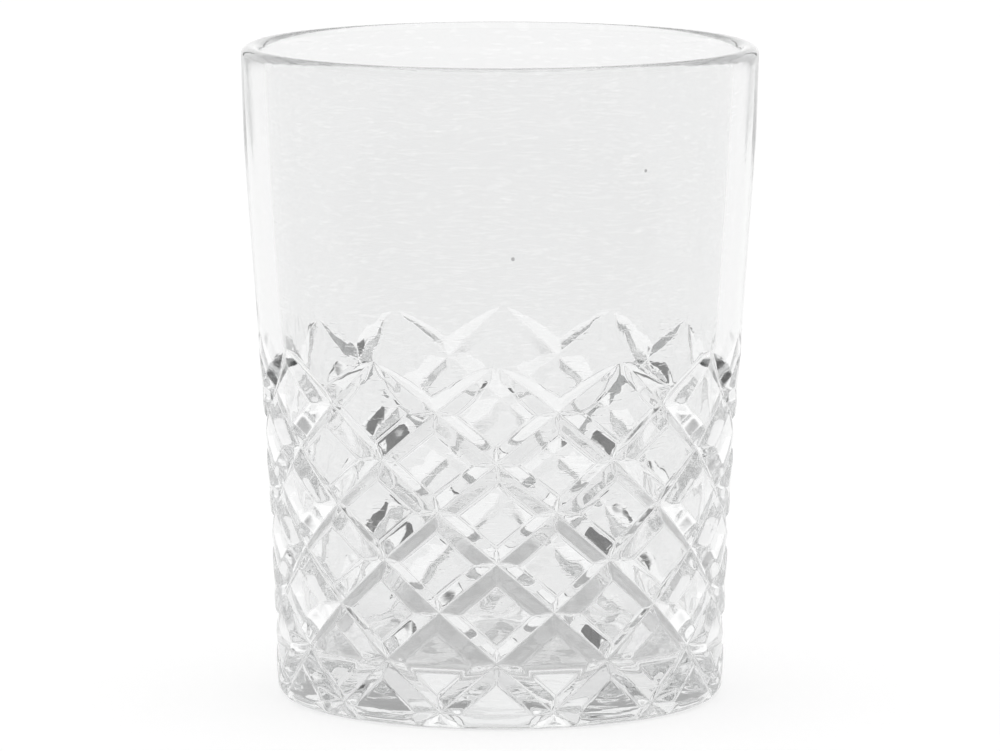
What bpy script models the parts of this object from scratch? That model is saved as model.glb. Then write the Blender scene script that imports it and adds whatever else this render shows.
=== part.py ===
"""Whiskey tumbler: one solid piece of clear pressed glass, in metres, +Z up.

The blank is a turned profile: a thick floor, a tapered wall, a rolled lip and a low heel
that stands on a flat ring. Two families of V grooves wind round the lower half, one
right-handed and one left-handed. They cross in level rows and leave diamond pads between
them, and at the top each groove fades out in a pointed tip. The origin is on the axis, at
the standing ring's level, and -Y is the front.
"""

import math

import bmesh
import bpy
import numpy as np

MM = 0.001

# The blank's outside: three straight lines, from the foot to the waist, the shoulder and the
# rim, blended one into the next. The setbacks are how much smaller than the rim's radius the
# wall is there, and the blends are differences of radius.
HEIGHT = 100.0 * MM
RIM_RADIUS = 39.5 * MM
SHOULDER_SETBACK = 0.53 * MM
SHOULDER_DROP = 16.8 * MM
WAIST_SETBACK = 4.53 * MM
WAIST_HEIGHT = 27.8 * MM
FOOT_SETBACK = 5.4 * MM
SHOULDER_BLEND = 0.3 * MM
WAIST_BLEND = 1.2 * MM

# The lip and the inside.
RIM_WALL = 3.0 * MM
LIP_FILLET = 1.45 * MM
FLOOR_THICKNESS = 8.0 * MM
FLOOR_WALL = 4.2 * MM
FLOOR_FILLET = 2.0 * MM

# The heel and the underside.
HEEL_FILLET = 2.4 * MM
RING_WIDTH = 2.2 * MM
RING_FILLET = 1.0 * MM
RING_SLOPE_WIDTH = 2.0 * MM
PUNT_DEPTH = 1.5 * MM
PUNT_FILLET = 2.0 * MM

# The cut band. Grooves of one hand stand evenly round the glass.
GROOVES_EACH_WAY = 12
CROSSING_ROWS = 7
LOWEST_ROW_HEIGHT = 2.5 * MM
ROW_PITCH = 7.6 * MM
GROOVE_DEPTH = 1.5 * MM
GROOVE_HALF_WIDTH = 2.15 * MM
TIP_RISE = 7.3 * MM

# How finely the round shapes are divided.
BLANK_SEGMENTS = 72
WALL_STEPS = 6
FILLET_STEPS = 3
RING_STEPS = 1
STATIONS_PER_ROW = 2
MERGE_DISTANCE = 0.0001 * MM

# The second family of grooves is this much deeper, so that it passes cleanly through the first.
SECOND_FAMILY_EXTRA = 0.03 * MM

# The cutters stand out of the wall by this rise. They start this far below the ring, and they
# end where the bottom of the V has left the wall by the exit.
CUTTER_RISE = 1.5 * MM
CUTTER_OVERRUN = 5.0 * MM
CUTTER_EXIT = 0.75 * MM


def clear_scene():
    for thing in list(bpy.data.objects):
        bpy.data.objects.remove(thing, do_unlink=True)


def glass_material():
    """Clear, colourless soda-lime glass with a fire-polished face."""
    glass = bpy.data.materials.new("clear_glass")
    glass.use_nodes = True
    shader = glass.node_tree.nodes["Principled BSDF"]
    shader.inputs["Base Color"].default_value = (0.97, 0.98, 0.98, 1.0)
    shader.inputs["Roughness"].default_value = 0.02
    shader.inputs["Metallic"].default_value = 0.0
    shader.inputs["IOR"].default_value = 1.52
    shader.inputs["Transmission Weight"].default_value = 1.0
    return glass


def rounded_corner(before, corner, after, radius, steps):
    """Points of the arc that rounds one corner, kept to half of each side it joins."""
    before, corner, after = np.array(before), np.array(corner), np.array(after)
    back = before - corner
    ahead = after - corner
    reach = 0.5 * min(np.linalg.norm(back), np.linalg.norm(ahead))
    back /= np.linalg.norm(back)
    ahead /= np.linalg.norm(ahead)
    half_angle = 0.5 * math.acos(float(np.clip(back @ ahead, -1.0, 1.0)))
    tangent = min(radius / math.tan(half_angle), reach)
    radius = tangent * math.tan(half_angle)
    bisector = (back + ahead) / np.linalg.norm(back + ahead)
    centre = corner + bisector * radius / math.sin(half_angle)
    start = corner + back * tangent - centre
    end = corner + ahead * tangent - centre
    sweep = math.acos(float(np.clip(start @ end / radius**2, -1.0, 1.0)))
    points = []
    for step in range(steps + 1):
        share = step / steps
        weight_start = math.sin((1.0 - share) * sweep) / math.sin(sweep)
        weight_end = math.sin(share * sweep) / math.sin(sweep)
        points.append(tuple(centre + weight_start * start + weight_end * end))
    return points


def rounded_path(corners):
    """An open line through (radius, height, fillet, steps) corners, each one rounded."""
    path = [corners[0][:2]]
    for before, here, after in zip(corners, corners[1:], corners[2:]):
        path += rounded_corner(before[:2], here[:2], after[:2], here[2], here[3])
    path.append(corners[-1][:2])
    return path


def smooth_min(one, other, blend):
    """The smaller of two sizes, rounded off where they differ by less than the blend."""
    near = max(blend - abs(one - other), 0.0) / blend
    return min(one, other) - near**3 * blend / 6.0


def line_radius(height, low, high):
    """Radius at a height on the straight line through two (radius, height) points."""
    share = (height - low[1]) / (high[1] - low[1])
    return low[0] + share * (high[0] - low[0])


def wall_radius(height):
    """The outer wall's radius at a height, before the lip and the heel are rounded."""
    foot = (RIM_RADIUS - FOOT_SETBACK, 0.0)
    waist = (RIM_RADIUS - WAIST_SETBACK, WAIST_HEIGHT)
    shoulder = (RIM_RADIUS - SHOULDER_SETBACK, HEIGHT - SHOULDER_DROP)
    rim = (RIM_RADIUS, HEIGHT)
    below = line_radius(height, foot, waist)
    cone = line_radius(height, waist, shoulder)
    above = line_radius(height, shoulder, rim)
    return smooth_min(-smooth_min(-below, -cone, WAIST_BLEND), above, SHOULDER_BLEND)


def blank_profile():
    """The turned profile: floor centre, inside, lip, outer wall, heel and underside centre."""
    shoulder_height = HEIGHT - SHOULDER_DROP
    foot_radius = RIM_RADIUS - FOOT_SETBACK
    ring_inside = foot_radius - HEEL_FILLET - RING_WIDTH
    punt_edge = ring_inside - RING_SLOPE_WIDTH
    floor_edge = foot_radius - FLOOR_WALL
    inside_and_lip = rounded_path(
        [
            (0.0, FLOOR_THICKNESS),
            (floor_edge, FLOOR_THICKNESS, FLOOR_FILLET, FILLET_STEPS),
            (RIM_RADIUS - RIM_WALL, HEIGHT, LIP_FILLET, FILLET_STEPS),
            (RIM_RADIUS, HEIGHT, LIP_FILLET, FILLET_STEPS),
            (wall_radius(shoulder_height), shoulder_height),
        ]
    )
    wall = []
    for step in range(1, WALL_STEPS):
        height = shoulder_height + (LOWEST_ROW_HEIGHT - shoulder_height) * step / WALL_STEPS
        wall.append((wall_radius(height), height))
    heel_and_underside = rounded_path(
        [
            wall[-1],
            (wall_radius(0.0), 0.0, HEEL_FILLET, FILLET_STEPS),
            (ring_inside, 0.0, RING_FILLET, RING_STEPS),
            (punt_edge, PUNT_DEPTH, PUNT_FILLET, RING_STEPS),
            (0.0, PUNT_DEPTH),
        ]
    )
    return inside_and_lip + wall[:-1] + heel_and_underside


def turned_blank(material):
    """The tumbler before cutting: the profile turned round the Z axis."""
    mesh = bpy.data.meshes.new("glass_tumbler")
    points = [(radius, 0.0, height) for radius, height in blank_profile()]
    edges = [(index, index + 1) for index in range(len(points) - 1)]
    mesh.from_pydata(points, edges, [])
    blank = bpy.data.objects.new("glass_tumbler", mesh)
    bpy.context.scene.collection.objects.link(blank)
    mesh.materials.append(material)
    turn = blank.modifiers.new("Turn", "SCREW")
    turn.axis = "Z"
    turn.steps = BLANK_SEGMENTS
    turn.render_steps = BLANK_SEGMENTS
    turn.use_merge_vertices = True
    turn.merge_threshold = MERGE_DISTANCE
    turn.use_smooth_shade = True
    return blank


def top_row_height():
    return LOWEST_ROW_HEIGHT + (CROSSING_ROWS - 1) * ROW_PITCH


def groove_depth(height, full_depth):
    """Full depth up to the top row of crossings, then an arc that rises out of the wall."""
    rise = max(0.0, height - top_row_height()) / TIP_RISE
    return full_depth * (1.0 - rise**2)


def groove_section(hand, start_angle, height, full_depth):
    """A cutter's V section at one height: its bottom point and its two outer points."""
    half_step = math.pi / GROOVES_EACH_WAY
    angle = start_angle + hand * half_step * (height - LOWEST_ROW_HEIGHT) / ROW_PITCH
    radius = wall_radius(height)
    depth = groove_depth(height, full_depth)
    outward = np.array([math.sin(angle), -math.cos(angle), 0.0])
    sideways = np.array([math.cos(angle), math.sin(angle), 0.0])
    up = np.array([0.0, 0.0, 1.0])
    lean = hand * radius * half_step / ROW_PITCH
    across = (sideways - lean * up) / math.hypot(1.0, lean)
    spread = (depth + CUTTER_RISE) * GROOVE_HALF_WIDTH / GROOVE_DEPTH
    level = height * up
    return [
        level + (radius - depth) * outward,
        level + (radius + CUTTER_RISE) * outward + spread * across,
        level + (radius + CUTTER_RISE) * outward - spread * across,
    ]


def groove_cutters(name, hand, full_depth):
    """The V-shaped bars that cut all the grooves of one hand, as separate closed bodies."""
    bottom = -CUTTER_OVERRUN
    top = top_row_height() + TIP_RISE * math.sqrt(1.0 + CUTTER_EXIT / full_depth)
    count = math.ceil((top - bottom) * STATIONS_PER_ROW / ROW_PITCH)
    cutters = bmesh.new()
    for groove in range(GROOVES_EACH_WAY):
        start_angle = (2 * groove + 1) * math.pi / GROOVES_EACH_WAY
        rings = []
        for station in range(count + 1):
            height = bottom + (top - bottom) * station / count
            section = groove_section(hand, start_angle, height, full_depth)
            rings.append([cutters.verts.new(point) for point in section])
        for below, above in zip(rings, rings[1:]):
            for side in range(3):
                ahead = (side + 1) % 3
                cutters.faces.new((below[side], below[ahead], above[ahead], above[side]))
        cutters.faces.new(rings[0][::-1])
        cutters.faces.new(rings[-1])
    bmesh.ops.recalc_face_normals(cutters, faces=cutters.faces)
    mesh = bpy.data.meshes.new(name)
    cutters.to_mesh(mesh)
    cutters.free()
    cutter = bpy.data.objects.new(name, mesh)
    bpy.context.scene.collection.objects.link(cutter)
    cutter.hide_render = True
    cutter.display_type = "WIRE"
    return cutter


def cut_grooves(blank, cutter):
    cut = blank.modifiers.new(cutter.name, "BOOLEAN")
    cut.operation = "DIFFERENCE"
    cut.solver = "EXACT"
    cut.object = cutter


def build():
    clear_scene()
    tumbler = turned_blank(glass_material())
    cut_grooves(tumbler, groove_cutters("right_hand_grooves", 1, GROOVE_DEPTH))
    second_depth = GROOVE_DEPTH + SECOND_FAMILY_EXTRA
    cut_grooves(tumbler, groove_cutters("left_hand_grooves", -1, second_depth))
    return tumbler


build()
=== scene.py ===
"""Whiskey tumbler of clear pressed glass on a plain studio stage.

The glass is one closed body. A turned mesh makes the upper wall, the lip, the inside, the
heel and the underside. Geometry Nodes lay one diamond tile all round the lower half, wrap it
on the wall and press two crossing families of V grooves into the outside.
"""

import math

import bmesh
import bpy
from bpy.props import FloatProperty, FloatVectorProperty, IntProperty, PointerProperty
from bpy.types import NodeSocket, Operator, Panel, PropertyGroup
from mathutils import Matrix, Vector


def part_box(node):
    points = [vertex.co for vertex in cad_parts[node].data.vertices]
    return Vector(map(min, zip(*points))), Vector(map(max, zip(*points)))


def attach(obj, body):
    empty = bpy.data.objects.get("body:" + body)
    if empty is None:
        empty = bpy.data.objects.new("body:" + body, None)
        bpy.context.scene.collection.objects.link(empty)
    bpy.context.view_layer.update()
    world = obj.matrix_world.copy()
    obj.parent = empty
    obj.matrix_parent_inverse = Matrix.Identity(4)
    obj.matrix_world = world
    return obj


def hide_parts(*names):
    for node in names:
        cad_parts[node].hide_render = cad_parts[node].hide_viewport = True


bl_info = {
    "name": "Pressed Whiskey Tumbler",
    "version": (1, 0, 0),
    "blender": (4, 5, 0),
    "location": "3D View > Sidebar > Tumbler",
    "description": "Makes a pressed-glass tumbler with crossing grooves, and a studio stage",
    "category": "Add Mesh",
}

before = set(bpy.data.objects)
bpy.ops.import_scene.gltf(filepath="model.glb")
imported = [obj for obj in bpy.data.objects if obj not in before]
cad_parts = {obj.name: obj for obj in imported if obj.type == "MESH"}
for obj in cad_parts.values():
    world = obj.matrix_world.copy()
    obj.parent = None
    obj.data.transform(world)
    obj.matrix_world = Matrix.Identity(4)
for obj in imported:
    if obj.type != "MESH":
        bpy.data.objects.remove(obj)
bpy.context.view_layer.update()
NODE = "glass_tumbler"
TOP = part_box(NODE)[1][2]
MM = 0.001
TAU = 2.0 * math.pi

# Points closer than these are one point: on the glass, in metres, and on the flat tile.
MERGE_DISTANCE = 2e-6
TILE_MERGE = 1e-6

# How finely the turned parts are divided: the wall, each half of the lip, the inside, the
# inner floor's fillet and the inner floor, then the heel, the ring's two fillets and the base.
WALL_STEPS = 26
LIP_STEPS = 10
INSIDE_STEPS = 34
FLOOR_FILLET_STEPS = 12
FLOOR_STEPS = 7
HEEL_STEPS = 14
RING_STEPS = 5
BASE_STEPS = 6
STAGE_SEGMENTS = 96

# How finely the tile is divided, from a groove's bottom to the middle of a pad.
SIDE_STEPS = 2
EDGE_STEPS = 4
PAD_STEPS = 3

# The wall's own rings stop this many lip fillets below the rim, and the groove's rounded
# bottom is this many root roundings wide on each side.
LIP_CLEARANCE = 1.6
ROOT_REACH = 2.5

# The socket numbers of a Mix node's share, colours and result when it mixes colours.
MIX_INPUTS = (0, 6, 7)
MIX_RESULT = 2

SENSOR_WIDTH = 36.0
CLIP_START = 0.1
CLIP_END = 20.0
FLOOR_ROUGHNESS = 0.9
WHITE = (1.0, 1.0, 1.0, 1.0)


def length(name, description, default_mm):
    """A length property, with its default in millimetres."""
    return FloatProperty(
        name=name,
        description=description,
        default=default_mm * MM,
        min=0.0,
        precision=5,
        subtype="DISTANCE",
        unit="LENGTH",
    )


def plain(name, description, default):
    """A bare number, such as a slope or a count of steps."""
    return FloatProperty(name=name, description=description, default=default, precision=4)


def triple(name, description, default):
    """Three bare numbers."""
    return FloatVectorProperty(name=name, description=description, default=default, subtype="XYZ")


class TumblerShape(PropertyGroup):
    """Sizes of the blank, before the grooves."""

    height: length("Height", "Overall height", TOP / MM)
    waist_radius: length("Waist Radius", "Outer radius where cone and foot meet", 34.97)
    waist_height: length("Waist Height", "Height where cone and foot meet", 27.8)
    cone_slope: plain("Cone Slope", "Radius gained per height on the cone", 0.0722)
    foot_slope: plain("Foot Slope", "Radius gained per height below the waist", 0.0313)
    waist_blend: length("Waist Blend", "Softness of the waist", 1.2)
    shoulder_radius: length("Shoulder Radius", "Outer radius at the shoulder", 38.96)
    shoulder_height: length("Shoulder Height", "Height of the shoulder", 83.2)
    shoulder_slope: plain("Shoulder Slope", "Radius gained per height by the rim", 0.0315)
    shoulder_blend: length("Shoulder Blend", "Softness of the shoulder", 0.3)
    heel_fillet: length("Heel Fillet", "Rounding between the wall and the ring", 2.4)
    ring_width: length("Ring Width", "Width of the standing ring", 2.2)
    ring_fillet: length("Ring Fillet", "Rounding of the ring's inner edge", 1.0)
    punt_setback: length("Punt Setback", "Run of the slope inside the ring", 2.0)
    punt_depth: length("Punt Depth", "Hollow under the base", 1.5)
    punt_fillet: length("Punt Fillet", "Fillet at the edge of the hollow", 2.0)
    rim_wall: length("Rim Wall", "Wall thickness at the rim", 3.0)
    lip_fillet: length("Lip Fillet", "Rounding of the lip", 1.45)
    floor_thickness: length("Floor Thickness", "Height of the inner floor", 8.0)
    floor_radius: length("Floor Radius", "Radius of the inner floor's corner", 29.9)
    floor_fillet: length("Floor Fillet", "Fillet of the inner floor", 2.0)


class GrooveBand(PropertyGroup):
    """The two families of V grooves."""

    grooves: IntProperty(name="Grooves Each Way", description="Grooves of one hand", default=12, min=4)
    rows: IntProperty(name="Crossing Rows", description="Level rows of crossings", default=7, min=2)
    lowest_row: length("Lowest Row", "Height of the lowest row of crossings", 2.5)
    row_pitch: length("Row Pitch", "Height between rows of crossings", 7.6)
    depth: length("Groove Depth", "Depth of a groove", 1.5)
    half_width: length("Groove Half Width", "Half of a groove's width, square to it", 2.15)
    tip_rise: length("Tip Rise", "Rise of a groove's tip above the top row", 7.3)
    root_round: length("Root Rounding", "Rounding at the bottom of a groove", 0.10)
    edge_round: length("Edge Rounding", "Rounding where a groove meets a pad", 0.35)
    ridge_round: length("Ridge Rounding", "Rounding of the ridges at a crossing", 0.20)


class GlassFinish(PropertyGroup):
    """The look of the glass."""

    tint: FloatVectorProperty(
        name="Tint",
        description="Colour of the glass",
        default=(0.905, 0.907, 0.907),
        min=0.0,
        max=1.0,
        subtype="COLOR",
    )
    ior: plain("IOR", "Refractive index", 1.52)
    depth_colour: FloatVectorProperty(
        name="Depth Colour",
        description="Colour that the glass takes with depth",
        default=(0.9, 0.902, 0.902),
        min=0.0,
        max=1.0,
        subtype="COLOR",
    )
    depth_density: plain("Depth Density", "How fast it takes that colour, per metre", 28.0)
    ripple_height: length("Ripple Height", "Height of the pressed surface's slow ripple", 0.15)
    ripple_scale: plain("Ripple Scale", "Ripples per metre", 150.0)
    ripple_low: length("Ripple Low", "Height up to which the ripple is full", 50.0)
    ripple_high: length("Ripple High", "Height above which the ripple has gone", 64.0)
    streak_height: length("Streak Height", "Height of the fine level streaks", 0.004)
    streak_scale: FloatVectorProperty(
        name="Streak Scale",
        description="Streaks per metre along each axis; they are long and level",
        default=(420.0, 420.0, 2400.0),
        subtype="XYZ",
    )
    streak_start: plain("Streak Start", "Noise value where a streak begins to show", 0.67)
    streak_full: plain("Streak Full", "Noise value where a streak shows fully", 0.76)
    streak_light: plain("Streak Light", "How much lighter a streak is", 0.6)
    seed_scale: plain("Seed Scale", "Small trapped specks per metre", 62.0)
    seed_size: plain("Seed Size", "A speck's radius as a share of their spacing", 0.02)
    seed_tint: plain("Seed Tint", "Brightness of a speck", 0.25)


class StudioSetup(PropertyGroup):
    """The floor, the surround and the camera."""

    floor_colour: FloatVectorProperty(
        name="Floor Colour",
        description="Colour of the floor",
        default=(0.32, 0.32, 0.32),
        min=0.0,
        max=1.0,
        subtype="COLOR",
    )
    floor_radius: length("Floor Radius", "Radius of the round floor", 4000.0)
    floor_glow: plain("Floor Glow", "Light that the translucent floor gives of itself", 0.735)
    # Painted shadow: the floor's glow is lower under the tumbler, fading in from the inner to the outer
    # radius, in place of the shade beneath the glass.
    painted_shadow_glow: plain("Footprint Glow", "The same, under the tumbler", 0.52)
    painted_shadow_inner: length("Footprint Inner", "Radius where the glow starts to rise", 24.0)
    painted_shadow_outer: length("Footprint Outer", "Radius where the glow is full", 33.0)
    surround: plain("Surround", "Strength of the bright surround", 1.15)
    front_fade: plain("Front Fade", "Light missing low down in front", 0.4)
    front_low: triple("Front Low", "Lowest side, depth and height share", (-2.0, -2.0, -2.0))
    front_high: triple("Front High", "Highest side, depth and height share", (2.0, 0.18, 0.26))
    front_soft: triple("Front Soft", "Half the width of its edges", (0.1, 0.27, 0.14))
    ring_fade: plain("Ring Fade", "Light missing all round, half way up", 0.6)
    ring_low: triple("Ring Low", "Lowest side, depth and height share", (-2.0, -2.0, 0.36))
    ring_high: triple("Ring High", "Highest side, depth and height share", (2.0, 2.0, 0.64))
    ring_soft: triple("Ring Soft", "Half the width of its edges", (0.1, 0.1, 0.08))
    flag_fade: plain("Flag Fade", "Light missing at the two flags behind", 0.9)
    flag_low: triple("Flag Low", "Lowest side, depth and height share", (0.30, 0.0, -2.0))
    flag_high: triple("Flag High", "Highest side, depth and height share", (0.36, 2.0, 0.3))
    flag_soft: triple("Flag Soft", "Half the width of their edges", (0.01, 0.1, 0.04))
    light_bounces: IntProperty(name="Bounces", description="Limit on a light path", default=64)
    camera_distance: length("Camera Distance", "From the point it looks at", 1201.0)
    camera_azimuth: FloatProperty(
        name="Camera Azimuth",
        description="Turn of the camera round the tumbler",
        default=math.radians(0.84),
        subtype="ANGLE",
    )
    camera_elevation: FloatProperty(
        name="Camera Elevation",
        description="Angle of the camera above level",
        default=math.radians(7.8),
        subtype="ANGLE",
    )
    camera_lens: FloatProperty(name="Lens", description="Focal length in mm", default=282.7)
    aim_height: length("Aim Height", "Height that the camera looks at", 49.14)


# The outside of the blank is three lines of radius over height, blended one into the next.
# Each is (name, how it joins the lines before it).
WALL_LINES = (
    ("Cone", None),
    ("Foot", "SMOOTH_MAX"),
    ("Shoulder", "SMOOTH_MIN"),
)


def wall_line_values(shape):
    """Each line's radius at a height, that height, its slope and its blend."""
    return {
        "Cone": (shape.waist_radius, shape.waist_height, shape.cone_slope, 0.0),
        "Foot": (shape.waist_radius, shape.waist_height, shape.foot_slope, shape.waist_blend),
        "Shoulder": (
            shape.shoulder_radius,
            shape.shoulder_height,
            shape.shoulder_slope,
            shape.shoulder_blend,
        ),
    }


def smooth_min(one, other, blend):
    """The smaller of two numbers, rounded off where they are within the blend of each other."""
    near = max(blend - abs(one - other), 0.0) / blend
    return min(one, other) - near**3 * blend / 6.0


def smooth_max(one, other, blend):
    return -smooth_min(-one, -other, blend)


def outer_radius(shape, height):
    """Radius of the blank's outside at a height, between the ring and the lip."""
    values = wall_line_values(shape)
    result = 0.0
    for name, join in WALL_LINES:
        radius, at_height, slope, blend = values[name]
        line = radius + (height - at_height) * slope
        if join is None:
            result = line
        elif join == "SMOOTH_MAX":
            result = smooth_max(result, line, blend)
        else:
            result = smooth_min(result, line, blend)
    return result


def spread(start, end, steps):
    """Evenly spaced numbers from start up to end, without start itself."""
    return [start + (end - start) * step / steps for step in range(1, steps + 1)]


def corner_arc(before, corner, after, radius, steps):
    """Points of the arc that rounds the corner between two straight sides."""
    back = (before[0] - corner[0], before[1] - corner[1])
    ahead = (after[0] - corner[0], after[1] - corner[1])
    back_length = math.hypot(*back)
    ahead_length = math.hypot(*ahead)
    back = (back[0] / back_length, back[1] / back_length)
    ahead = (ahead[0] / ahead_length, ahead[1] / ahead_length)
    half = 0.5 * math.acos(back[0] * ahead[0] + back[1] * ahead[1])
    tangent = radius / math.tan(half)
    reach = radius / math.sin(half)
    middle = (back[0] + ahead[0], back[1] + ahead[1])
    size = math.hypot(*middle)
    centre = (corner[0] + middle[0] / size * reach, corner[1] + middle[1] / size * reach)
    start = (corner[0] + back[0] * tangent - centre[0], corner[1] + back[1] * tangent - centre[1])
    end = (corner[0] + ahead[0] * tangent - centre[0], corner[1] + ahead[1] * tangent - centre[1])
    sweep = math.pi - 2.0 * half
    points = []
    for step in range(steps + 1):
        share = step / steps
        from_start = math.sin((1.0 - share) * sweep) / math.sin(sweep)
        from_end = math.sin(share * sweep) / math.sin(sweep)
        points.append(
            (
                centre[0] + from_start * start[0] + from_end * end[0],
                centre[1] + from_start * start[1] + from_end * end[1],
            )
        )
    return points


def line_points(start, end, steps):
    """Points after start, up to end, along a straight side."""
    return [
        (start[0] + (end[0] - start[0]) * share, start[1] + (end[1] - start[1]) * share)
        for share in spread(0.0, 1.0, steps)
    ]


def upper_profile(shape, band):
    """(radius, height) from the top edge of the tiles up, over the lip and in to the floor."""
    bottom = band.lowest_row + band.rows * band.row_pitch
    lip_start = shape.height - LIP_CLEARANCE * shape.lip_fillet
    heights = [bottom] + spread(bottom, lip_start, WALL_STEPS)
    profile = [(outer_radius(shape, height), height) for height in heights]
    rim = (outer_radius(shape, shape.height), shape.height)
    inner_rim = (rim[0] - shape.rim_wall, shape.height)
    floor_corner = (shape.floor_radius, shape.floor_thickness)
    profile += corner_arc(profile[-1], rim, inner_rim, shape.lip_fillet, LIP_STEPS)
    lip_inside = corner_arc(rim, inner_rim, floor_corner, shape.lip_fillet, LIP_STEPS)
    profile += lip_inside[1:] if shape.rim_wall <= 2.0 * shape.lip_fillet else lip_inside
    centre = (0.0, floor_corner[1])
    floor_arc = corner_arc(inner_rim, floor_corner, centre, shape.floor_fillet, FLOOR_FILLET_STEPS)
    profile += line_points(profile[-1], floor_arc[0], INSIDE_STEPS)[:-1]
    profile += floor_arc
    profile += line_points(floor_arc[-1], centre, FLOOR_STEPS)
    return profile


def lower_profile(shape, band):
    """(radius, height) from the bottom edge of the tiles down the heel to the underside."""
    start = (outer_radius(shape, band.lowest_row), band.lowest_row)
    foot = (outer_radius(shape, 0.0), 0.0)
    inner_ring = (foot[0] - shape.heel_fillet - shape.ring_width, 0.0)
    punt_edge = (inner_ring[0] - shape.punt_setback, shape.punt_depth)
    centre = (0.0, punt_edge[1])
    profile = [start] + corner_arc(start, foot, inner_ring, shape.heel_fillet, HEEL_STEPS)
    profile += corner_arc(foot, inner_ring, punt_edge, shape.ring_fillet, RING_STEPS)
    profile += corner_arc(inner_ring, punt_edge, centre, shape.punt_fillet, RING_STEPS)
    profile += line_points(profile[-1], centre, BASE_STEPS)
    return profile


def tile_stations(shape, band):
    """Distances from a groove's middle to the middle of a pad, as shares of the spacing.

    They crowd where the surface bends: at the groove's bottom and at the pad's edge.
    """
    step = math.pi / band.grooves
    radius = outer_radius(shape, band.lowest_row + band.row_pitch * band.rows / 2.0)
    lean = radius * step / band.row_pitch
    spacing = radius * 2.0 * step / math.hypot(1.0, lean)
    root = ROOT_REACH * band.root_round
    edge = band.edge_round * band.half_width / band.depth
    stops = [0.0, 0.5 * root, root]
    stops += spread(root, band.half_width - edge, SIDE_STEPS)
    stops += spread(band.half_width - edge, band.half_width + edge, EDGE_STEPS)
    stops += spread(band.half_width + edge, spacing / 2.0, PAD_STEPS)
    return [stop / spacing for stop in stops[:-1]] + [0.5]


def diamond_tile(shape, band):
    """A flat diamond round one crossing, two half steps wide and two rows high.

    Every square of its grid is split along the line that points at the crossing, so the
    ridges there and the level edges of the band lie on edges.
    """
    stations = tile_stations(shape, band)
    count = len(stations)
    tile = bmesh.new()
    for sign_u, sign_v in ((1, 1), (-1, 1), (-1, -1), (1, -1)):
        grid = []
        for share_u in stations:
            u, row = sign_u * share_u, []
            for share_v in stations:
                v = sign_v * share_v
                row.append(tile.verts.new((u - v, u + v, 0.0)))
            grid.append(row)
        for i in range(count - 1):
            for j in range(count - 1):
                near, far = grid[i][j], grid[i + 1][j + 1]
                one, other = grid[i + 1][j], grid[i][j + 1]
                tile.faces.new((near, one, far))
                tile.faces.new((near, far, other))
    bmesh.ops.remove_doubles(tile, verts=tile.verts, dist=TILE_MERGE)
    bmesh.ops.recalc_face_normals(tile, faces=tile.faces)
    if next(iter(tile.faces)).normal.z < 0.0:
        bmesh.ops.reverse_faces(tile, faces=tile.faces)
    return mesh_object("diamond_tile", tile)


def mesh_object(name, shape):
    """Turns a bmesh into an object in the scene."""
    mesh = bpy.data.meshes.new(name)
    shape.to_mesh(mesh)
    shape.free()
    made = bpy.data.objects.new(name, mesh)
    bpy.context.scene.collection.objects.link(made)
    return made


def turned_part(made, profile, angles):
    """Adds a surface turned from a profile that ends on the axis."""
    rings = []
    for radius, height in profile[:-1]:
        rings.append(
            [
                made.verts.new((radius * math.sin(angle), -radius * math.cos(angle), height))
                for angle in angles
            ]
        )
    for ring, following in zip(rings, rings[1:]):
        for i in range(len(angles)):
            ahead = (i + 1) % len(angles)
            made.faces.new((ring[i], ring[ahead], following[ahead], following[i]))
    centre = made.verts.new((0.0, 0.0, profile[-1][1]))
    for i in range(len(angles)):
        made.faces.new((rings[-1][i], rings[-1][(i + 1) % len(angles)], centre))


def edge_angles(shape, band, row):
    """Angles of the tile's points along a level row of crossings."""
    stations = tile_stations(shape, band)
    shares = stations + [1.0 - share for share in reversed(stations[1:-1])]
    step = math.pi / band.grooves
    first = step * ((row + 1) % 2)
    return [first + 2.0 * step * (k + share) for k in range(band.grooves) for share in shares]


def turned_rest(shape, band):
    """Everything but the tiled band: the upper wall with the inside, and the heel with the base."""
    made = bmesh.new()
    turned_part(made, upper_profile(shape, band), edge_angles(shape, band, band.rows))
    turned_part(made, lower_profile(shape, band), edge_angles(shape, band, 0))
    return mesh_object("pressed_glass", made)


class TreeBuilder:
    """Adds nodes to a tree and wires them, so that a rule reads as a formula."""

    def __init__(self, tree):
        self.tree = tree

    def node(self, kind, **settings):
        made = self.tree.nodes.new(kind)
        for name, value in settings.items():
            setattr(made, name, value)
        return made

    def feed(self, node, **inputs):
        for name, value in inputs.items():
            socket = node.inputs[name.replace("_", " ")]
            self.put(socket, value)
        return node

    def put(self, socket, value):
        if isinstance(value, NodeSocket):
            self.tree.links.new(value, socket)
        else:
            socket.default_value = value

    def math(self, operation, *values):
        made = self.node("ShaderNodeMath", operation=operation)
        for socket, value in zip(made.inputs, values):
            self.put(socket, value)
        return made.outputs[0]

    def split(self, vector):
        made = self.node("ShaderNodeSeparateXYZ")
        self.put(made.inputs[0], vector)
        return made.outputs

    def join(self, x, y, z):
        made = self.node("ShaderNodeCombineXYZ")
        for socket, value in zip(made.inputs, (x, y, z)):
            self.put(socket, value)
        return made.outputs[0]


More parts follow.
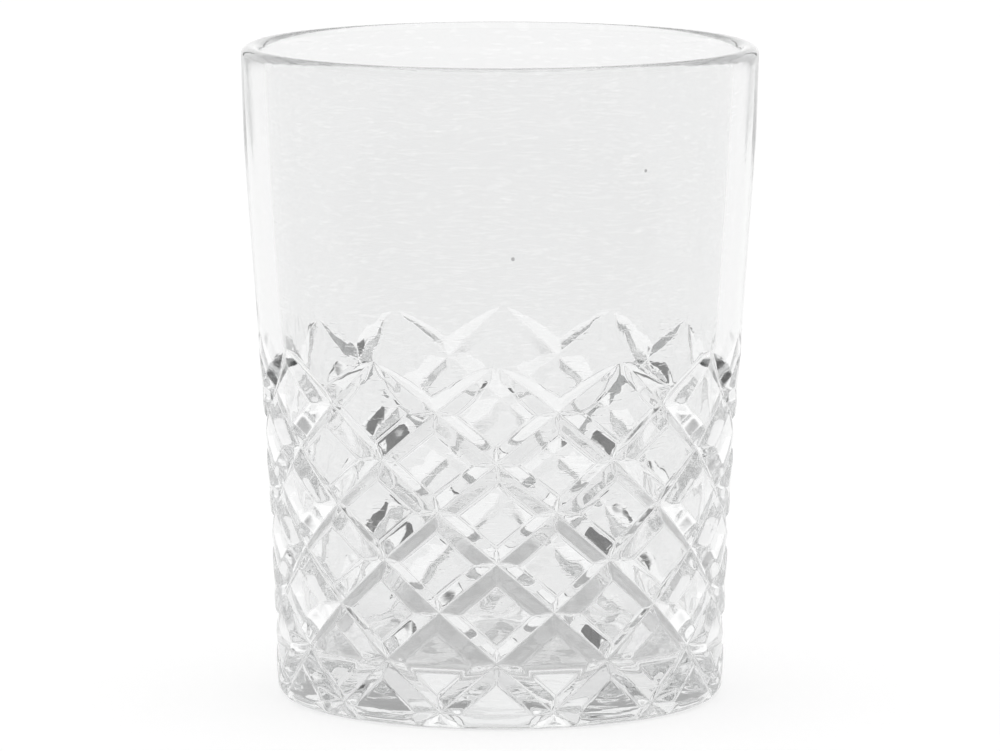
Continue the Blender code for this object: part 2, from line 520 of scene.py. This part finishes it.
def band_inputs(shape, band, tile, glass):
    """Every input of the groove tree: (name, socket type, value)."""
    found = []
    for name, values in wall_line_values(shape).items():
        for part, value in zip(("Radius", "Height", "Slope", "Blend"), values):
            found.append((f"{name} {part}", "NodeSocketFloat", value))
    found += [
        ("Grooves Each Way", "NodeSocketInt", band.grooves),
        ("Crossing Rows", "NodeSocketInt", band.rows),
        ("Lowest Row", "NodeSocketFloat", band.lowest_row),
        ("Row Pitch", "NodeSocketFloat", band.row_pitch),
        ("Groove Depth", "NodeSocketFloat", band.depth),
        ("Groove Half Width", "NodeSocketFloat", band.half_width),
        ("Tip Rise", "NodeSocketFloat", band.tip_rise),
        ("Root Rounding", "NodeSocketFloat", band.root_round),
        ("Edge Rounding", "NodeSocketFloat", band.edge_round),
        ("Ridge Rounding", "NodeSocketFloat", band.ridge_round),
        ("Diamond Tile", "NodeSocketObject", tile),
        ("Glass", "NodeSocketMaterial", glass),
    ]
    return found


def wall_nodes(build, given, height):
    """The blank's radius at a height."""
    result = None
    for name, join in WALL_LINES:
        above = build.math("SUBTRACT", height, given[f"{name} Height"])
        line = build.math("MULTIPLY_ADD", above, given[f"{name} Slope"], given[f"{name} Radius"])
        if join is None:
            result = line
        else:
            result = build.math(join, result, line, given[f"{name} Blend"])
    return result


def groove_nodes(build, given, hand, angle, height, wall, step):
    """Radius of the V surface of one family of grooves, with no end to its sides."""
    climb = build.math("SUBTRACT", height, given["Lowest Row"])
    turn = build.math("MULTIPLY", build.math("DIVIDE", climb, given["Row Pitch"]), step)
    if hand > 0:
        offset = build.math("SUBTRACT", angle, turn)
    else:
        offset = build.math("ADD", angle, turn)
    offset = build.math("SUBTRACT", offset, step)
    offset = build.math("WRAP", offset, step, build.math("MULTIPLY", step, -1.0))
    lean = build.math("DIVIDE", build.math("MULTIPLY", wall, step), given["Row Pitch"])
    lean_length = build.math("SQRT", build.math("MULTIPLY_ADD", lean, lean, 1.0))
    across = build.math("DIVIDE", build.math("MULTIPLY", offset, wall), lean_length)
    rounding = build.math("MULTIPLY", given["Root Rounding"], given["Root Rounding"])
    across = build.math("SQRT", build.math("MULTIPLY_ADD", across, across, rounding))
    side = build.math("DIVIDE", given["Groove Depth"], given["Groove Half Width"])
    bands = build.math("SUBTRACT", given["Crossing Rows"], 1.0)
    top_row = build.math("MULTIPLY_ADD", bands, given["Row Pitch"], given["Lowest Row"])
    rise = build.math("MAXIMUM", build.math("SUBTRACT", height, top_row), 0.0)
    rise = build.math("DIVIDE", rise, given["Tip Rise"])
    fade = build.math("SUBTRACT", 1.0, build.math("MULTIPLY", rise, rise))
    depth = build.math("MULTIPLY", given["Groove Depth"], fade)
    bottom = build.math("SUBTRACT", wall, depth)
    return build.math("MULTIPLY_ADD", across, side, bottom)


def tile_nodes(build, given, step):
    """The tile on every crossing, flat: X in half steps of angle, Y in rows, cut off level."""
    rows = build.math("ADD", given["Crossing Rows"], 1.0)
    width = build.math("MULTIPLY", build.math("SUBTRACT", given["Grooves Each Way"], 1.0), 2.0)
    grid = build.node("GeometryNodeMeshGrid")
    build.feed(grid, Size_X=width, Size_Y=given["Crossing Rows"])
    build.feed(grid, Vertices_X=given["Grooves Each Way"], Vertices_Y=rows)
    corner = build.join(
        build.math("MULTIPLY", width, 0.5), build.math("MULTIPLY", given["Crossing Rows"], 0.5), 0.0
    )
    moved = build.feed(build.node("GeometryNodeSetPosition"), Geometry=grid.outputs[0], Offset=corner)
    place = build.split(build.node("GeometryNodeInputPosition").outputs[0])
    row = build.math("ROUND", place[1])
    even = build.math("FLOORED_MODULO", build.math("ADD", row, 1.0), 2.0)
    staggered = build.feed(
        build.node("GeometryNodeSetPosition"),
        Geometry=moved.outputs[0],
        Offset=build.join(even, 0.0, 0.0),
    )
    tile = build.feed(build.node("GeometryNodeObjectInfo"), Object=given["Diamond Tile"])
    placed = build.feed(
        build.node("GeometryNodeInstanceOnPoints"),
        Points=staggered.outputs[0],
        Instance=tile.outputs["Geometry"],
    )
    real = build.feed(build.node("GeometryNodeRealizeInstances"), Geometry=placed.outputs[0])
    middle = build.split(build.node("GeometryNodeInputPosition").outputs[0])[1]
    below = build.math("LESS_THAN", middle, 0.0)
    above = build.math("GREATER_THAN", middle, given["Crossing Rows"])
    outside = build.math("MAXIMUM", below, above)
    trimmed = build.node("GeometryNodeDeleteGeometry", domain="FACE")
    build.feed(trimmed, Geometry=real.outputs[0], Selection=outside)
    return trimmed.outputs[0]


def wrap_nodes(build, given, flat, step):
    """The flat tiles wrapped round the blank's outer wall."""
    place = build.split(build.node("GeometryNodeInputPosition").outputs[0])
    angle = build.math("MULTIPLY", place[0], step)
    height = build.math("MULTIPLY_ADD", place[1], given["Row Pitch"], given["Lowest Row"])
    radius = wall_nodes(build, given, height)
    x = build.math("MULTIPLY", radius, build.math("SINE", angle))
    y = build.math("MULTIPLY", radius, build.math("MULTIPLY", build.math("COSINE", angle), -1.0))
    wrapped = build.feed(
        build.node("GeometryNodeSetPosition"), Geometry=flat, Position=build.join(x, y, height)
    )
    return wrapped.outputs[0]


def press_nodes(build, given, whole, step):
    """The grooves pressed into the outside: each point moves straight in to the V surface."""
    x, y, height = build.split(build.node("GeometryNodeInputPosition").outputs[0])
    angle = build.math("ARCTAN2", x, build.math("MULTIPLY", y, -1.0))
    squares = build.math("MULTIPLY_ADD", x, x, build.math("MULTIPLY", y, y))
    radius = build.math("SQRT", squares)
    wall = wall_nodes(build, given, height)
    right = groove_nodes(build, given, 1, angle, height, wall, step)
    left = groove_nodes(build, given, -1, angle, height, wall, step)
    grooves = build.math("SMOOTH_MIN", right, left, given["Ridge Rounding"])
    pressed = build.math("SMOOTH_MIN", radius, grooves, given["Edge Rounding"])
    share = build.math("DIVIDE", pressed, build.math("MAXIMUM", radius, MERGE_DISTANCE))
    place = build.join(
        build.math("MULTIPLY", x, share), build.math("MULTIPLY", y, share), height
    )
    moved = build.feed(build.node("GeometryNodeSetPosition"), Geometry=whole, Position=place)
    return moved.outputs[0]


def groove_tree(inputs):
    """The node tree that adds the tiled band to the turned mesh and presses the grooves."""
    tree = bpy.data.node_groups.new("Crossing Grooves", "GeometryNodeTree")
    tree.interface.new_socket("Geometry", in_out="INPUT", socket_type="NodeSocketGeometry")
    tree.interface.new_socket("Geometry", in_out="OUTPUT", socket_type="NodeSocketGeometry")
    for name, kind, _ in inputs:
        tree.interface.new_socket(name, in_out="INPUT", socket_type=kind)
    build = TreeBuilder(tree)
    given = build.node("NodeGroupInput").outputs
    step = build.math("DIVIDE", math.pi, given["Grooves Each Way"])
    band = wrap_nodes(build, given, tile_nodes(build, given, step), step)
    joined = build.node("GeometryNodeJoinGeometry")
    tree.links.new(band, joined.inputs[0])
    tree.links.new(given["Geometry"], joined.inputs[0])
    merged = build.feed(
        build.node("GeometryNodeMergeByDistance"),
        Geometry=joined.outputs[0],
        Distance=MERGE_DISTANCE,
    )
    pressed = press_nodes(build, given, merged.outputs[0], step)
    smooth = build.feed(build.node("GeometryNodeSetShadeSmooth"), Geometry=pressed)
    real = build.feed(build.node("GeometryNodeRealizeInstances"), Geometry=smooth.outputs[0])
    coated = build.feed(
        build.node("GeometryNodeSetMaterial"), Geometry=real.outputs[0], Material=given["Glass"]
    )
    out = build.node("NodeGroupOutput")
    tree.links.new(coated.outputs[0], out.inputs[0])
    return tree


def run_tree(made, tree, inputs):
    """Runs a node tree on an object and keeps its result as the object's own plain mesh."""
    modifier = made.modifiers.new(tree.name, "NODES")
    modifier.node_group = tree
    sockets = {item.name: item.identifier for item in tree.interface.items_tree if item.in_out == "INPUT"}
    for name, _, value in inputs:
        modifier[sockets[name]] = value
    graph = bpy.context.evaluated_depsgraph_get()
    result = bpy.data.meshes.new_from_object(made.evaluated_get(graph), depsgraph=graph)
    made.modifiers.remove(modifier)
    old = made.data
    made.data = result
    bpy.data.meshes.remove(old)


def closed_outward(mesh):
    """Turns the faces of a closed mesh outwards, and stops if it isn't closed."""
    body = bmesh.new()
    body.from_mesh(mesh)
    if any(len(edge.link_faces) != 2 for edge in body.edges):
        raise RuntimeError("the glass isn't one closed surface")
    bmesh.ops.recalc_face_normals(body, faces=body.faces)
    body.to_mesh(mesh)
    body.free()


def scaled(build, vector, scale):
    """A vector multiplied by another, part by part."""
    made = build.node("ShaderNodeVectorMath", operation="MULTIPLY")
    build.put(made.inputs[0], vector)
    build.put(made.inputs[1], scale)
    return made.outputs[0]


def blended(build, share, one, other):
    """One colour turning into another as the share goes from 0 to 1."""
    made = build.node("ShaderNodeMix", data_type="RGBA")
    for number, value in zip(MIX_INPUTS, (share, one, other)):
        build.put(made.inputs[number], value)
    return made.outputs[MIX_RESULT]


def clear_glass(finish):
    """Clear pressed glass that greys a little with depth.

    It has a slow ripple over the grooves, fine level streaks and a few small specks.
    """
    glass = bpy.data.materials.new("clear_pressed_glass")
    glass.use_nodes = True
    build = TreeBuilder(glass.node_tree)
    shader = glass.node_tree.nodes["Principled BSDF"]
    place = build.node("ShaderNodeTexCoord").outputs["Object"]
    streaks = build.node("ShaderNodeTexNoise")
    build.feed(streaks, Vector=scaled(build, place, finish.streak_scale), Scale=1.0, Detail=0.0)
    streak = build.node("ShaderNodeMapRange", interpolation_type="SMOOTHSTEP")
    build.feed(streak, Value=streaks.outputs[0], To_Max=finish.streak_light)
    build.feed(streak, From_Min=finish.streak_start, From_Max=finish.streak_full)
    seeds = build.node("ShaderNodeTexVoronoi")
    build.feed(seeds, Vector=place, Scale=finish.seed_scale)
    seed = build.math("LESS_THAN", seeds.outputs["Distance"], finish.seed_size)
    tint = blended(build, streak.outputs[0], (*finish.tint, 1.0), WHITE)
    tint = blended(build, seed, tint, (*[finish.seed_tint] * 3, 1.0))
    ripples = build.node("ShaderNodeTexNoise")
    build.feed(ripples, Vector=place, Scale=finish.ripple_scale, Detail=1.0)
    calm = build.node("ShaderNodeMapRange", interpolation_type="SMOOTHSTEP")
    build.feed(calm, Value=build.split(place)[2], To_Min=finish.ripple_height, To_Max=0.0)
    build.feed(calm, From_Min=finish.ripple_low, From_Max=finish.ripple_high)
    slow = build.node("ShaderNodeBump")
    build.feed(slow, Distance=calm.outputs[0], Height=ripples.outputs[0])
    fine = build.node("ShaderNodeBump")
    build.feed(fine, Distance=finish.streak_height, Height=streak.outputs[0])
    build.feed(fine, Normal=slow.outputs[0])
    build.feed(shader, Base_Color=tint, IOR=finish.ior, Transmission_Weight=1.0)
    build.feed(shader, Roughness=0.0, Normal=fine.outputs[0])
    depth = build.node("ShaderNodeVolumeAbsorption")
    build.feed(depth, Color=(*finish.depth_colour, 1.0), Density=finish.depth_density)
    build.feed(glass.node_tree.nodes["Material Output"], Volume=depth.outputs[0])
    return glass


class TUMBLER_OT_glass(Operator):
    """Make the glass body with its grooves, and put it in the place of the plain model"""

    bl_idname = "tumbler.glass"
    bl_label = "Glass Body"
    bl_options = {"REGISTER", "UNDO"}

    def execute(self, context):
        shape = context.scene.tumbler_shape
        band = context.scene.tumbler_band
        glass = clear_glass(context.scene.tumbler_finish)
        tile = diamond_tile(shape, band)
        body = turned_rest(shape, band)
        inputs = band_inputs(shape, band, tile, glass)
        run_tree(body, groove_tree(inputs), inputs)
        bpy.data.objects.remove(tile, do_unlink=True)
        closed_outward(body.data)
        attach(body, "root")
        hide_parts(NODE)
        return {"FINISHED"}


def round_floor(setup):
    """A plain round floor."""
    made = bmesh.new()
    profile = [(setup.floor_radius, 0.0), (0.0, 0.0)]
    turned_part(made, profile, [TAU * step / STAGE_SEGMENTS for step in range(STAGE_SEGMENTS)])
    bmesh.ops.reverse_faces(made, faces=made.faces)
    return mesh_object("studio_floor", made)


def zone_nodes(build, parts, low, high, soft):
    """One inside a box of directions and nothing outside it, with soft edges."""
    share = 1.0
    for part, start, end, edge in zip(parts, low, high, soft):
        for first, last in ((start - edge, start + edge), (end + edge, end - edge)):
            step = build.node("ShaderNodeMapRange", interpolation_type="SMOOTHSTEP")
            build.feed(step, Value=part, From_Min=first, From_Max=last)
            share = build.math("MULTIPLY", step.outputs[0], share)
    return share


def soft_surround(setup):
    """A bright, even surround with three darker zones: the front, a ring and two flags."""
    world = bpy.data.worlds.new("studio")
    world.use_nodes = True
    build = TreeBuilder(world.node_tree)
    side, depth, height = build.split(build.node("ShaderNodeTexCoord").outputs["Generated"])
    parts = (build.math("ABSOLUTE", side), depth, height)
    strength = setup.surround
    for low, high, soft, fade in (
        (setup.front_low, setup.front_high, setup.front_soft, setup.front_fade),
        (setup.ring_low, setup.ring_high, setup.ring_soft, setup.ring_fade),
        (setup.flag_low, setup.flag_high, setup.flag_soft, setup.flag_fade),
    ):
        kept = build.math("MULTIPLY_ADD", zone_nodes(build, parts, low, high, soft), -fade, 1.0)
        strength = build.math("MULTIPLY", kept, strength)
    build.feed(world.node_tree.nodes["Background"], Color=WHITE, Strength=strength)
    return world


def matt_floor(setup):
    """A pale, matt, translucent floor that is partly lit from below, with a painted shadow under the
    tumbler where that glow is lower.
    """
    paint = bpy.data.materials.new("pale_floor")
    paint.use_nodes = True
    build = TreeBuilder(paint.node_tree)
    shader = paint.node_tree.nodes["Principled BSDF"]
    build.feed(shader, Base_Color=(*setup.floor_colour, 1.0), Roughness=FLOOR_ROUGHNESS)
    build.feed(shader, Specular_IOR_Level=0.0, Emission_Color=WHITE)
    place = build.node("ShaderNodeTexCoord").outputs["Object"]
    away = build.node("ShaderNodeVectorMath", operation="LENGTH")
    build.put(away.inputs[0], place)
    # Painted shadow: the floor's glow drops to a lower value under the tumbler's footprint.
    glow_with_painted_shadow = build.node("ShaderNodeMapRange", interpolation_type="SMOOTHSTEP")
    build.feed(glow_with_painted_shadow, Value=away.outputs["Value"], To_Min=setup.painted_shadow_glow, To_Max=setup.floor_glow)
    build.feed(glow_with_painted_shadow, From_Min=setup.painted_shadow_inner, From_Max=setup.painted_shadow_outer)
    build.feed(shader, Emission_Strength=glow_with_painted_shadow.outputs[0])
    return paint


class TUMBLER_OT_stage(Operator):
    """Make the floor, the surround and the camera"""

    bl_idname = "tumbler.stage"
    bl_label = "Studio Stage"
    bl_options = {"REGISTER", "UNDO"}

    def execute(self, context):
        setup = context.scene.tumbler_studio
        floor = round_floor(setup)
        floor.data.materials.append(matt_floor(setup))
        for polygon in floor.data.polygons:
            polygon.use_smooth = True
        context.scene.world = soft_surround(setup)
        camera_data = bpy.data.cameras.new("camera")
        camera_data.sensor_width = SENSOR_WIDTH
        camera_data.lens = setup.camera_lens
        camera_data.clip_start = CLIP_START
        camera_data.clip_end = CLIP_END
        camera = bpy.data.objects.new("camera", camera_data)
        context.scene.collection.objects.link(camera)
        level = math.cos(setup.camera_elevation) * setup.camera_distance
        camera.location = (
            level * math.sin(setup.camera_azimuth),
            -level * math.cos(setup.camera_azimuth),
            setup.aim_height + math.sin(setup.camera_elevation) * setup.camera_distance,
        )
        camera.rotation_euler = (
            math.pi / 2 - setup.camera_elevation,
            0.0,
            setup.camera_azimuth,
        )
        context.scene.camera = camera
        context.scene.view_settings.view_transform = "Standard"
        context.scene.cycles.max_bounces = setup.light_bounces
        context.scene.cycles.transmission_bounces = setup.light_bounces
        context.scene.cycles.glossy_bounces = setup.light_bounces
        context.scene.cycles.use_denoising = True
        return {"FINISHED"}


class TUMBLER_PT_sidebar(Panel):
    """The tumbler's tools in the 3D view's sidebar"""

    bl_label = "Pressed Tumbler"
    bl_idname = "TUMBLER_PT_sidebar"
    bl_space_type = "VIEW_3D"
    bl_region_type = "UI"
    bl_category = "Tumbler"

    def draw(self, context):
        for title, group, operator in (
            ("Blank", context.scene.tumbler_shape, None),
            ("Grooves", context.scene.tumbler_band, None),
            ("Glass", context.scene.tumbler_finish, "tumbler.glass"),
            ("Studio", context.scene.tumbler_studio, "tumbler.stage"),
        ):
            box = self.layout.box()
            box.label(text=title)
            for name in group.bl_rna.properties.keys():
                if name not in {"rna_type", "name"}:
                    box.prop(group, name)
            if operator:
                box.operator(operator)


CLASSES = (
    TumblerShape,
    GrooveBand,
    GlassFinish,
    StudioSetup,
    TUMBLER_OT_glass,
    TUMBLER_OT_stage,
    TUMBLER_PT_sidebar,
)


def register():
    for cls in CLASSES:
        bpy.utils.register_class(cls)
    bpy.types.Scene.tumbler_shape = PointerProperty(type=TumblerShape)
    bpy.types.Scene.tumbler_band = PointerProperty(type=GrooveBand)
    bpy.types.Scene.tumbler_finish = PointerProperty(type=GlassFinish)
    bpy.types.Scene.tumbler_studio = PointerProperty(type=StudioSetup)


def unregister():
    for name in ("tumbler_shape", "tumbler_band", "tumbler_finish", "tumbler_studio"):
        delattr(bpy.types.Scene, name)
    for cls in reversed(CLASSES):
        bpy.utils.unregister_class(cls)


def main():
    register()
    bpy.ops.tumbler.glass()
    bpy.ops.tumbler.stage()


if __name__ == "__main__":
    main()
